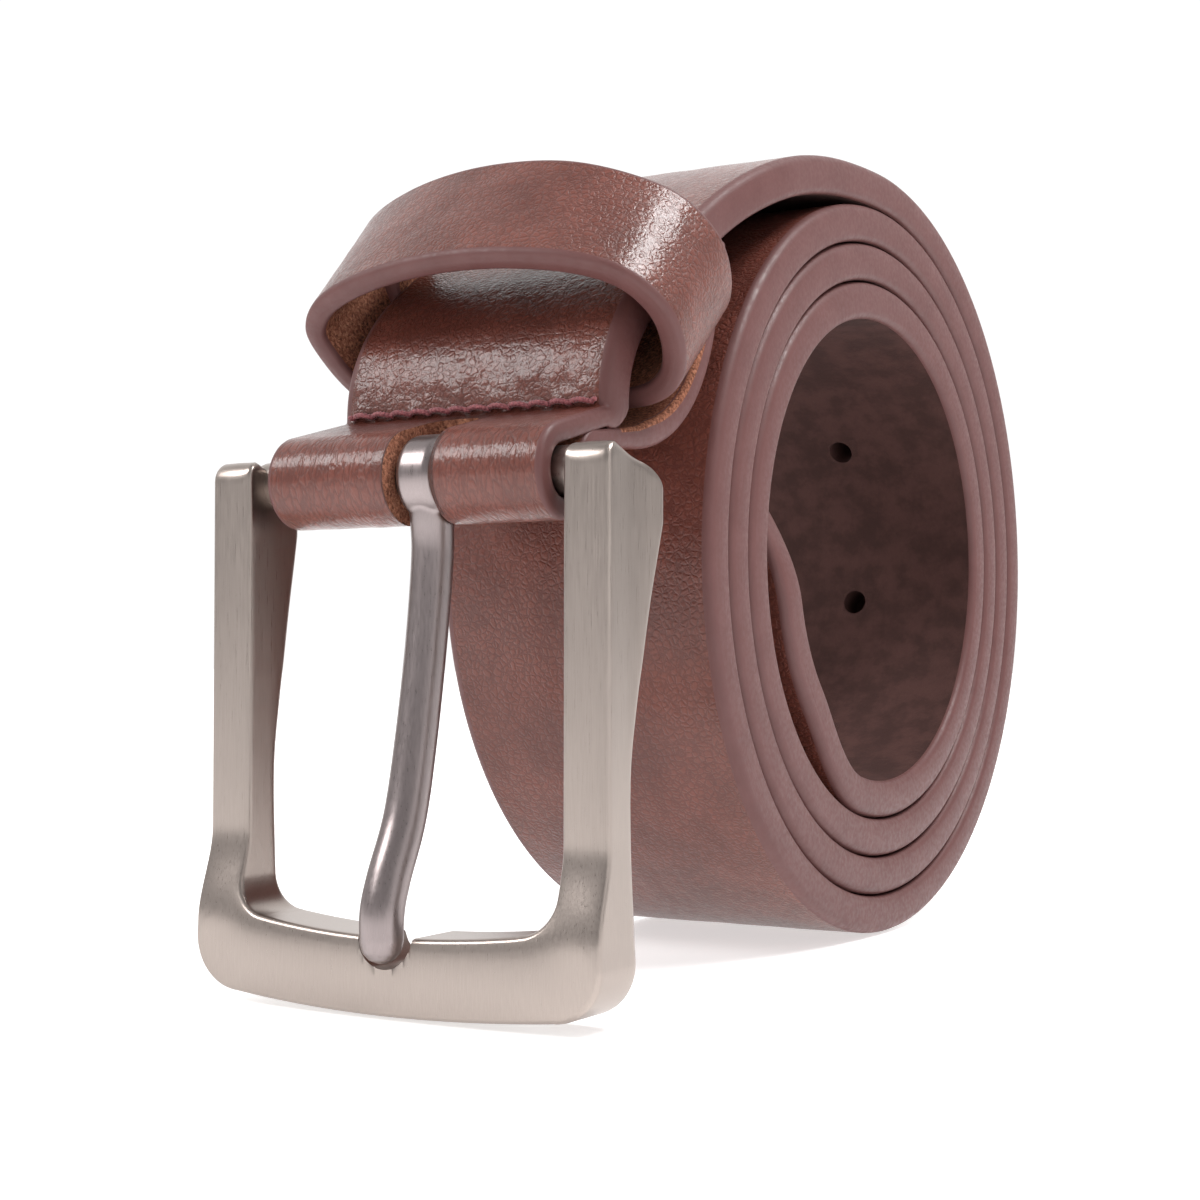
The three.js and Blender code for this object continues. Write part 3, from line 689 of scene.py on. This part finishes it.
def spline(points, per_span):
    """A Catmull-Rom curve through points, with per_span steps between each two."""
    p = np.asarray(points, float)
    p = np.vstack([2 * p[0] - p[1], p, 2 * p[-1] - p[-2]])
    out = []
    t = np.linspace(0, 1, per_span, endpoint=False)[:, None]
    for a, b, c, d in zip(p[:-3], p[1:-2], p[2:-1], p[3:]):
        out.append(0.5 * (2 * b + (c - a) * t + (2 * a - 5 * b + 4 * c - d) * t**2
                          + (3 * b - a - 3 * c + d) * t**3))
    return np.vstack([*out, p[-2:-1]])


def across_strap(v):
    """Rows of (across, off the strap) as points in space."""
    return v[:, 0:1] * RIGHT + v[:, 1:2] * OFF_STRAP


def keeper_unevenness(across, at):
    return fractal_noise(across * 0.3 + 11, at * 0.25, 3) * 0.14


def keeper(name, outline, width, near, thickness, flare, body):
    """A leather loop round the strap. near is where its near rim is along the strap, and flare is how much
    higher its far rim stands than its near one, less so on the right."""
    ring = spline(outline, 14)
    slope = unit(np.gradient(ring, axis=0))
    inward = np.stack([-slope[:, 1], slope[:, 0]], -1)
    step = np.concatenate([[0], np.linalg.norm(np.diff(ring, axis=0), axis=1)])
    rows = len(ring)
    points, faces, kinds, sheet = leather_strip(
        across_strap(ring), across_strap(inward), ALONG_STRAP, np.cumsum(step), np.full(rows, thickness),
        np.full(rows, width / 2), 0.0, np.ones(rows), keeper_unevenness)
    top = max(off for _, off in outline)
    share = np.clip(points @ OFF_STRAP / top, 0, 1) * (points @ ALONG_STRAP) / width
    share = share * (1 - 0.5 * smoothstep(points[:, 0], 8, 20))
    points = points + (share * flare)[:, None] * OFF_STRAP
    points = points + KEEPER_PLACE + (near + width / 2) * ALONG_STRAP
    obj = mesh_object("loop_" + name, points, faces, LEATHERS, kinds, sheet, SMOOTH_DEGREES)
    place(obj, body, name)


def tube(points, radius, sides=12):
    """A closed tube with domed ends along points (mm), whose radius may vary. Returns points and faces."""
    path = np.asarray(points, float)
    n = len(path)
    radius = np.broadcast_to(np.asarray(radius, float), (n,))
    forward = unit(np.gradient(path, axis=0))
    a = unit(np.cross(forward, [0.31, 0.22, 0.93]))
    b = np.cross(forward, a)
    angle = np.linspace(0, 2 * math.pi, sides, endpoint=False)
    ring = a[:, None] * np.cos(angle)[None, :, None] + b[:, None] * np.sin(angle)[None, :, None]
    domes = np.radians([80, 55, 30])

    def dome_ring(end, way, t):
        return path[end] + radius[end] * (way * forward[end] * math.sin(t) + ring[end] * math.cos(t))

    rows = [dome_ring(0, -1, t) for t in domes]
    rows += [path[i] + ring[i] * radius[i] for i in range(n)]
    rows += [dome_ring(-1, 1, t) for t in domes[::-1]]
    return np.vstack(rows), ring_faces(len(rows), sides)


STAPLE_HALF_SPAN = 2.9
STAPLE_BEND = 0.45
STAPLE_WIRE_RADIUS = 0.3


def staple(name, along_at, crown, towards, leg, body):
    """A wire staple through the keeper's butt joint; towards is +1 where its legs point up."""
    bends = [(STAPLE_BEND * math.sin(a), STAPLE_BEND - STAPLE_BEND * math.cos(a))
             for a in np.radians(np.linspace(0, 90, 7))]
    right_half = [(STAPLE_HALF_SPAN - STAPLE_BEND + x, towards * y) for x, y in bends]
    right_half.append((STAPLE_HALF_SPAN, towards * leg))
    path = [(-x, y) for x, y in right_half[::-1]] + right_half
    points = np.array([x * RIGHT + (crown + y) * OFF_STRAP for x, y in path])
    points = points + KEEPER_PLACE + along_at * ALONG_STRAP
    obj = mesh_object("wire_" + name, *tube(points, STAPLE_WIRE_RADIUS), [WIRE])
    place(obj, body, name)


# ------------------------------------------------------------------ seams
STITCH = 2.6
THREAD_RADIUS = 0.3
TWIST = 0.42


def seam(name, y, z, out, half_length):
    """A row of stitches across the strap. out is the direction the thread bulges in, in the y-z plane."""
    x = np.arange(-half_length, half_length + 0.01, 0.13)
    phase = x / STITCH
    bulge = 0.46 * np.abs(np.sin(math.pi * phase)) - 0.36
    slant = 0.22 * (phase % 1 - 0.5)
    out = np.array([0, *out])
    over = np.array([0, -out[2], out[1]])
    path = x[:, None] * RIGHT + [0, y, z] + bulge[:, None] * out + slant[:, None] * over
    radius = THREAD_RADIUS + 0.04 * np.sin(2 * math.pi * x / TWIST)
    obj = mesh_object("thread_" + name, *tube(path, radius, 10), [THREAD], smooth_angle=80)
    place(obj, "strap", name)


def seams():
    """The seam behind the bar and the one at the flap's end, each with a thread on either side."""
    seam("front_seam_needle_thread", FRONT_Y - 0.62, CREASE_Z + 0.25, (-0.9, 0.43), 16)
    seam("front_seam_bobbin_thread", -71.2, 57.75, (0, -1), 16)
    point, slope = bezier(*UPPER_RUN, np.array([0.262]))
    outward = -inward_of(slope)[0]
    above = point[0] + 0.25 * outward
    below = point[0] - outward * (LEATHER + 1.6)
    seam("rear_seam_needle_thread", *above, outward, 15.5)
    seam("rear_seam_bobbin_thread", *below, -outward, 15.5)


# ------------------------------------------------------------------ buckle frame
LEG_INSIDE = 19.85
LEG_OUTSIDE = 25.2
LEG_FRONT_Y = -84.0
LEG_SECTIONS_TOP = 50              # above this height a leg has its rounded top
LEG_TOP = 57.8
BAR_INSIDE_HALF = 15.9             # half the straight part of the lower bar, on its top and its underside
BAR_OUTSIDE_HALF = 19.9
INNER_CORNER_Z = 13.15
INNER_CORNER_RADIUS = 4.0
OUTER_CORNER_Z = 6.4
OUTER_CORNER_RADIUS = 5.5
FRAME_CROWN = 0.25                 # the front edges lie this far behind the middle of the front
NOTCH_X = 0.45
NOTCH_Z = 8.2
NOTCH_RADIUS = 3.35
# The casting's back from the side: (height, y)
BACK_EDGE = [
    (-2, -78.1), (3, -78.2), (16, -78.9), (25, -79.0), (32, -78.05),
    (36, -77.3), (42, -76.25), (49, -74.85), (54, -74.05), (60, -73.7)]


def front_face(x, z):
    """The casting's front: the lower bar stands proud of the legs and bows a little in its middle."""
    swell = 1 - smoothstep(z, 8.0, 18.0)
    bow = 0.8 * (1 - np.clip(np.abs(x) / 21, 0, 1) ** 2) * (1 - smoothstep(z, 7, 12))
    return LEG_FRONT_Y - 2.1 * swell - bow


def back_face(z):
    heights, depths = spline(BACK_EDGE, 8).T
    return np.interp(z, heights, depths)


def leg_flare(x, y, z, across):
    """How far a leg's sides lean outwards towards the back: the outer side more than the inner one."""
    lean = (np.clip(y + 80, 0, None) / 5.3) ** 1.5 * smoothstep(z, 14, 30)
    return np.sign(x) * lean * lerp(0.4, 1.5, across)


def half_outlines():
    """Matching points (x, z) on the inner and the outer outline, from the bar's middle up the right leg."""
    share = np.concatenate([np.linspace(0, 0.32, 70, endpoint=False), np.linspace(0.32, 1, 34)])
    inner = [np.stack([share * BAR_INSIDE_HALF, 8.1 + 1.0 * share**2], -1)]
    outer = [np.stack([share * BAR_OUTSIDE_HALF, 0.9 * share**2], -1)]
    a = np.radians(np.linspace(4, 90, 26))
    inner.append(np.stack([LEG_INSIDE - INNER_CORNER_RADIUS * (1 - np.sin(a)),
                           INNER_CORNER_Z - INNER_CORNER_RADIUS * np.cos(a)], -1))
    outer.append(np.stack([BAR_OUTSIDE_HALF + OUTER_CORNER_RADIUS * np.sin(a),
                           OUTER_CORNER_Z - OUTER_CORNER_RADIUS * np.cos(a)], -1))
    t = np.linspace(0.03, 1, 70)
    inner.append(np.stack([0 * t + LEG_INSIDE, lerp(INNER_CORNER_Z, LEG_SECTIONS_TOP, t)], -1))
    outer.append(np.stack([LEG_OUTSIDE + 0.15 * (1 - smoothstep(t, 0, 0.3)),
                           lerp(OUTER_CORNER_Z, LEG_SECTIONS_TOP, t)], -1))
    return np.vstack(inner), np.vstack(outer)


def frame_section(width, inner_round, outer_round, back_round):
    """Points round a section: distance from the inner outline, share of the way back, and mm behind it."""
    points = []

    def corner(x, share, y, radius, start):
        for a in np.radians(np.linspace(start, start - 90, 7)):
            points.append((x + radius * math.cos(a), share, y + radius * math.sin(a)))

    def flat(start, end, steps=7):
        for t in np.linspace(0, 1, steps + 2)[1:-1]:
            points.append(tuple(lerp(p, q, t) for p, q in zip(start, end)))

    corner(inner_round, 0, inner_round, inner_round, 270)
    flat((0, 0, inner_round), (0, 1, -back_round))
    corner(back_round, 1, -back_round, back_round, 180)
    flat((back_round, 1, 0), (width - back_round, 1, 0))
    corner(width - back_round, 1, -back_round, back_round, 90)
    flat((width, 1, -back_round), (width, 0, outer_round))
    corner(width - outer_round, 0, outer_round, outer_round, 0)
    flat((width - outer_round, 0, 0), (inner_round, 0, 0))
    points = np.array(points)
    crown = FRAME_CROWN * (2 * points[:, 0] / width - 1) ** 2
    points[:, 2] += np.where(points[:, 1] == 0, crown, 0)
    return points


def notched(points):
    """The points with the round seat for the prong's end in the top of the lower bar."""
    across = points[..., 0] - NOTCH_X
    floor = NOTCH_Z - np.sqrt(np.clip(NOTCH_RADIUS**2 - across**2, 0, None))
    inside = (np.abs(across) < NOTCH_RADIUS) & (points[..., 2] < 12)
    z = np.where(inside, np.minimum(points[..., 2], floor), points[..., 2])
    return np.concatenate([points[..., :2], z[..., None]], -1)


def frame_loops():
    """Rings round the casting, from the top of the left leg down, along the bar, and up the right leg."""
    inner, outer = half_outlines()
    mirror = np.array([-1, 1])
    inner = np.vstack([inner[:0:-1] * mirror, inner])
    outer = np.vstack([outer[:0:-1] * mirror, outer])
    loops = []
    for i, o in zip(inner, outer):
        width = np.linalg.norm(o - i)
        section = frame_section(width, 0.5, 0.6, 0.9)
        x, z = (i + section[:, 0:1] * (o - i) / width).T
        y = lerp(front_face(x, z), back_face(z), section[:, 1]) + section[:, 2]
        x = x + leg_flare(x, y, z, section[:, 0] / width)
        loops.append(np.stack([x, y, z], -1))
    loops = notched(np.array(loops))
    return [*leg_top(loops[0])[::-1], *loops, *leg_top(loops[-1])]


def buckle_frame():
    """One casting: the U-shaped frame, and the bar that the sleeve and the prong turn on."""
    rows = frame_loops()
    casting = mesh_object("cast_buckle_frame", np.vstack(rows), ring_faces(len(rows), len(rows[0])),
                          [FRAME_METAL], smooth_angle=METAL_SMOOTH_DEGREES)
    bar_line = [(x, BAR_Y, BAR_Z) for x in np.linspace(-21, 21, 60)]
    bar = mesh_object("cast_bar", *tube(bar_line, BAR_RADIUS, 48), [FRAME_METAL])
    combine("UNION", casting, [bar], METAL_SMOOTH_DEGREES)
    place(casting, "buckle_frame", "buckle_frame")


def leg_top(loop):
    """Rings that carry a leg's last section up to its domed, backward-sloping top."""
    side_round = 0.9
    front_round = 2.2
    back_round = 2.4
    middle = (loop.max(0) + loop.min(0)) / 2
    half = (loop.max(0) - loop.min(0)) / 2
    u, v = ((loop - middle) / half)[:, :2].T
    end_round = np.where(v < 0, front_round, back_round)
    near_side = np.abs(u) ** 6 + 1e-6
    near_end = np.abs(v) ** 6 + 1e-6
    height = (near_side * side_round + near_end * end_round) / (near_side + near_end)

    def roof(y):
        return LEG_TOP - 0.42 * np.clip(y + 82.2, 0, None)

    rings = []
    for t in np.linspace(0.1, 1, 14):
        ring = loop.copy()
        ring[:, 2] = lerp(loop[:, 2], roof(loop[:, 1]) - height, t)
        rings.append(ring)
    for a in np.radians(np.linspace(12, 90, 9)):
        gone = 1 - math.cos(a)
        x = middle[0] + u * (half[0] - side_round * gone)
        y = middle[1] + v * (half[1] - end_round * gone)
        rings.append(np.stack([x, y, roof(y) - height * (1 - math.sin(a))], -1))
    rim = rings[-1]
    for t in (0.25, 0.5, 0.75, 0.93):
        ring = lerp(rim, rim.mean(0), t)
        ring[:, 2] = roof(ring[:, 1])
        rings.append(ring)
    return rings


# ------------------------------------------------------------------ prong
PRONG_X = 0.9
EYE_X = PRONG_X + 0.3
EYE_INSIDE = BAR_RADIUS + 0.3
EYE_OUTSIDE = 4.45
EYE_HALF_WIDTH = 2.35


def prong_rod():
    """The S-shaped rod, from inside the eye down to the tip on the lower bar."""
    line = [(EYE_X, BAR_Y - 0.6, BAR_Z - 3.4), (PRONG_X + 0.2, -79.3, 47), (PRONG_X, -80.1, 38),
            (PRONG_X - 0.2, -81.6, 28), (PRONG_X - 0.3, -83.4, 20), (PRONG_X - 0.4, -86.0, 14),
            (PRONG_X - 0.45, -87.0, 10.8), (PRONG_X - 0.45, -87.1, 7.7)]
    route = spline(line, 12)
    at = np.linspace(0, 1, len(route))
    radius = np.interp(at, [0, 0.12, 0.3, 0.85, 1], [2.35, 2.25, 2.2, 2.3, 2.25])
    return mesh_object("cast_prong", *tube(route, radius, 40), [PRONG_METAL])


def prong_eye():
    """The ring round the bar, with rounded outer rims."""
    rim = [(0, EYE_OUTSIDE - 0.8), (0.25, EYE_OUTSIDE - 0.3), (0.9, EYE_OUTSIDE)]
    profile = [(-EYE_HALF_WIDTH, EYE_INSIDE), (EYE_HALF_WIDTH, EYE_INSIDE)]
    profile += [(EYE_HALF_WIDTH - inset, r) for inset, r in rim]
    profile += [(-EYE_HALF_WIDTH + inset, r) for inset, r in rim[::-1]]
    angles = np.linspace(0, 2 * math.pi, 72, endpoint=False)
    points = np.array([(EYE_X + x, BAR_Y + r * math.cos(a), BAR_Z + r * math.sin(a))
                       for a in angles for x, r in profile])
    faces = grid_faces(len(angles), len(profile), close_rows=True).tolist()
    return mesh_object("prong_eye", points, faces, [PRONG_METAL])


def prong():
    """The rod and its eye, melted together as one smooth casting."""
    obj = prong_rod()
    combine("UNION", obj, [prong_eye()], METAL_SMOOTH_DEGREES)
    remesh = obj.modifiers.new("remesh", "REMESH")
    remesh.mode = "VOXEL"
    remesh.voxel_size = 0.16 * MM
    smooth = obj.modifiers.new("smooth", "SMOOTH")
    smooth.factor = 0.5
    smooth.iterations = 9
    apply_modifiers(obj)
    obj.data.shade_smooth()
    place(obj, "prong", "prong")


# ------------------------------------------------------------------ studio
def aim(obj, direction):
    obj.rotation_mode = "QUATERNION"
    obj.rotation_quaternion = direction.to_track_quat("-Z", "Y")


def camera():
    """The viewpoint: in front and to the right, a little below the middle of the roll."""
    data = bpy.data.cameras.new("camera")
    data.sensor_width = 36
    data.lens = 61.5
    data.clip_start = 0.01
    obj = link(bpy.data.objects.new("camera", data))
    obj.location = (0.12583, -0.23689, 0.03659)
    yaw = math.radians(30.727)
    pitch = math.radians(1.567)
    aim(obj, Vector((-math.sin(yaw) * math.cos(pitch), math.cos(yaw) * math.cos(pitch), math.sin(pitch))))
    bpy.context.scene.camera = obj


LIGHTS_AIM = (0, -0.02, 0.05)


def softbox(name, location, width, height, watts):
    """A rectangular light that points at the belt."""
    data = bpy.data.lights.new(name, "AREA")
    data.shape = "RECTANGLE"
    data.size = width
    data.size_y = height
    data.energy = watts
    obj = link(bpy.data.objects.new(name, data))
    obj.location = location
    aim(obj, Vector(LIGHTS_AIM) - Vector(location))


def surroundings():
    """White to the camera; as light and in reflections it is bright behind on the left, and grey in front."""
    world = bpy.data.worlds.new("studio")
    bpy.context.scene.world = world
    world.use_nodes = True
    nodes = world.node_tree.nodes
    join = world.node_tree.links.new

    seen = nodes["Background"]
    seen.inputs["Color"].default_value = (1, 1, 1, 1)
    seen.inputs["Strength"].default_value = 1.05

    direction = nodes.new("ShaderNodeTexCoord")
    towards = nodes.new("ShaderNodeVectorMath")
    towards.operation = "DOT_PRODUCT"
    towards.inputs[1].default_value = (-0.55, 0.8, 0.15)
    fade = nodes.new("ShaderNodeValToRGB")
    stops = ((0.3, (0.42, 0.42, 0.425, 1)), (0.95, (1.3, 1.3, 1.3, 1)))
    for element, (position, color) in zip(fade.color_ramp.elements, stops):
        element.position = position
        element.color = color
    lit = nodes.new("ShaderNodeBackground")
    lit.inputs["Strength"].default_value = 1.0
    join(direction.outputs["Generated"], towards.inputs[0])
    join(towards.outputs["Value"], fade.inputs[0])
    join(fade.outputs["Color"], lit.inputs["Color"])

    rays = nodes.new("ShaderNodeLightPath")
    mix = nodes.new("ShaderNodeMixShader")
    join(rays.outputs["Is Camera Ray"], mix.inputs[0])
    join(lit.outputs[0], mix.inputs[1])
    join(seen.outputs[0], mix.inputs[2])
    join(mix.outputs[0], nodes["World Output"].inputs["Surface"])


def studio_floor():
    """A pale, glossy floor that glows a little, so that it stays white under the belt."""
    s = Shader("studio_floor", (0.86, 0.86, 0.86), 0.35, Emission_Color=(1, 1, 1, 1), Emission_Strength=0.55)
    haze = s.noise(s.place((3, 3, 3)), 1.0, 2.0)
    mesh = bpy.data.meshes.new("studio_floor")
    mesh.from_pydata([(-4, -4, 0), (4, -4, 0), (4, 4, 0), (-4, 4, 0)], [], [[0, 1, 2, 3]])
    mesh.materials.append(s.finish(None, s.steps(haze, 0.3, 0.7, 0.32, 0.4)))
    floor = link(bpy.data.objects.new("studio_floor", mesh))
    floor.location.z = -0.0003


def studio():
    bpy.context.scene.view_settings.view_transform = "Standard"
    surroundings()
    studio_floor()
    softbox("top_light", (0.34, 0.08, 0.68), 0.26, 0.26, 4.6)
    softbox("front_left_light", (-0.5, -0.55, 0.62), 0.4, 0.3, 4.0)
    softbox("right_light", (0.75, -0.1, 0.35), 0.5, 0.6, 0.6)


camera()
studio()
strap()
keeper("keeper_front", FRONT_KEEPER_OUTLINE, 15.6, -7.8, 2.7, 2.4, "keeper_front")
keeper("keeper_rear", REAR_KEEPER_OUTLINE, 7.8, 3.4, 2.0, 0.6, "strap")
staple("keeper_front_staple", -2.0, -11.9, 1, 2.6, "keeper_front")
staple("keeper_rear_staple", 7.0, -5.2, -1, 1.9, "strap")
seams()
buckle_frame()
prong()
